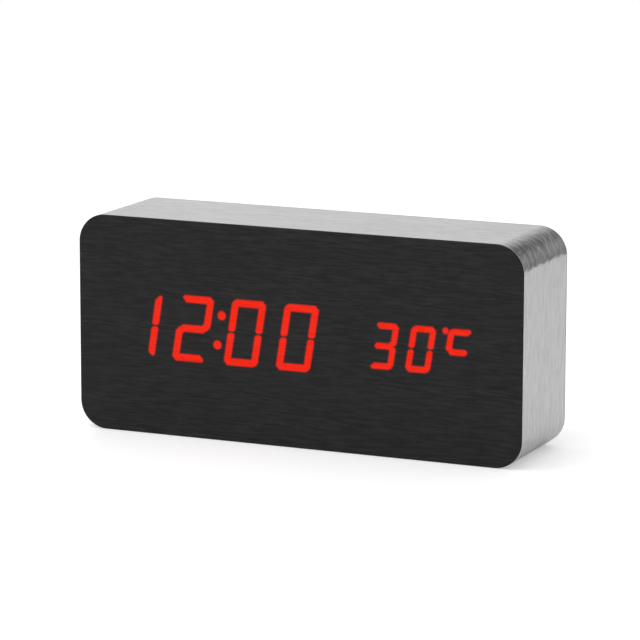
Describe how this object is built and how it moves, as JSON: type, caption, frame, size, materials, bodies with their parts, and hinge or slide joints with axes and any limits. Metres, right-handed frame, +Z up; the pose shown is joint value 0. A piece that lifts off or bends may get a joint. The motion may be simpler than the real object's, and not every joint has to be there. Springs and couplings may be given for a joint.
{
  "type": "digital desk clock",
  "caption": "Rounded block desk clock with red seven-segment time and temperature digits behind a black grain film, and a recessed back with keys, inlet and battery door.",
  "frame": {"origin": "centre of the footprint on the table", "axes": "+X to the right as seen from the front, -Y is where the face looks, +Z up"},
  "size_m": [0.15, 0.038, 0.069],
  "materials": {
    "black_grain_film": "satin",
    "silver_edge_film": "satin",
    "fibreboard": "matte",
    "light_box": "matte",
    "digit_diffuser": "satin",
    "led_chip": "satin",
    "circuit_board": "satin",
    "zinc_screw": "satin",
    "chip_epoxy": "matte",
    "component_can": "satin",
    "black_abs": "matte",
    "nickel_plate": "polished",
    "cell_can": "satin",
    "key_plastic": "satin",
    "switch_plastic": "matte",
    "inlet_plastic": "satin",
    "contact_brass": "polished",
    "thermistor_epoxy": "gloss",
    "socket_nylon": "satin",
    "ribbon_vinyl": "matte",
    "lead_black": "matte",
    "lead_red": "matte"
  },
  "bodies": {
    "case": {"face_film": "black_grain_film", "edge_film": "silver_edge_film", "rear_film": "black_grain_film", "front_board": "fibreboard", "case_frame": "fibreboard", "display_housing": "light_box", "time_diffusers": "digit_diffuser", "temperature_diffusers": "digit_diffuser", "led_chips": "led_chip", "main_board": "circuit_board", "main_board_screws": "zinc_screw", "microcontroller": "chip_epoxy", "led_driver": "chip_epoxy", "clock_chip": "chip_epoxy", "crystal": "component_can", "capacitor": "component_can", "rear_cover": "black_abs", "cover_screws": "zinc_screw", "battery_contacts": "nickel_plate", "battery_springs": "nickel_plate", "switch_housings": "switch_plastic", "key_board": "circuit_board", "key_board_screws": "zinc_screw", "dc_jack": "inlet_plastic", "jack_pin": "contact_brass", "jack_blade": "contact_brass", "buzzer": "inlet_plastic", "microphone": "component_can", "thermistor": "thermistor_epoxy", "main_board_socket": "socket_nylon", "key_board_socket": "socket_nylon", "key_ribbon": "ribbon_vinyl", "battery_lead_negative": "lead_black", "battery_lead_positive": "lead_red", "battery_cell_1": "cell_can", "battery_cell_2": "cell_can", "battery_cell_3": "cell_can", "battery_cell_4": "cell_can"},
    "door": {"battery_door": "black_abs"},
    "set_key": {"key_set": "key_plastic", "switch_stem_set": "switch_plastic"},
    "up_key": {"key_up": "key_plastic", "switch_stem_up": "switch_plastic"},
    "down_key": {"key_down": "key_plastic", "switch_stem_down": "switch_plastic"}
  },
  "joints": [
    {"name": "door_hinge", "type": "hinge", "parent": "case", "child": "door", "pos_m": [0.034, 0.018, 0.01125], "axis": [-1, 0, 0], "range_deg": [0, 75]},
    {"name": "set_key_press", "type": "slide", "parent": "case", "child": "set_key", "axis": [0, -1, 0], "range_m": [0, 0.0003], "stiffness_N_per_m": 3000},
    {"name": "up_key_press", "type": "slide", "parent": "case", "child": "up_key", "axis": [0, -1, 0], "range_m": [0, 0.0003], "stiffness_N_per_m": 3000},
    {"name": "down_key_press", "type": "slide", "parent": "case", "child": "down_key", "axis": [0, -1, 0], "range_m": [0, 0.0003], "stiffness_N_per_m": 3000}
  ]
}
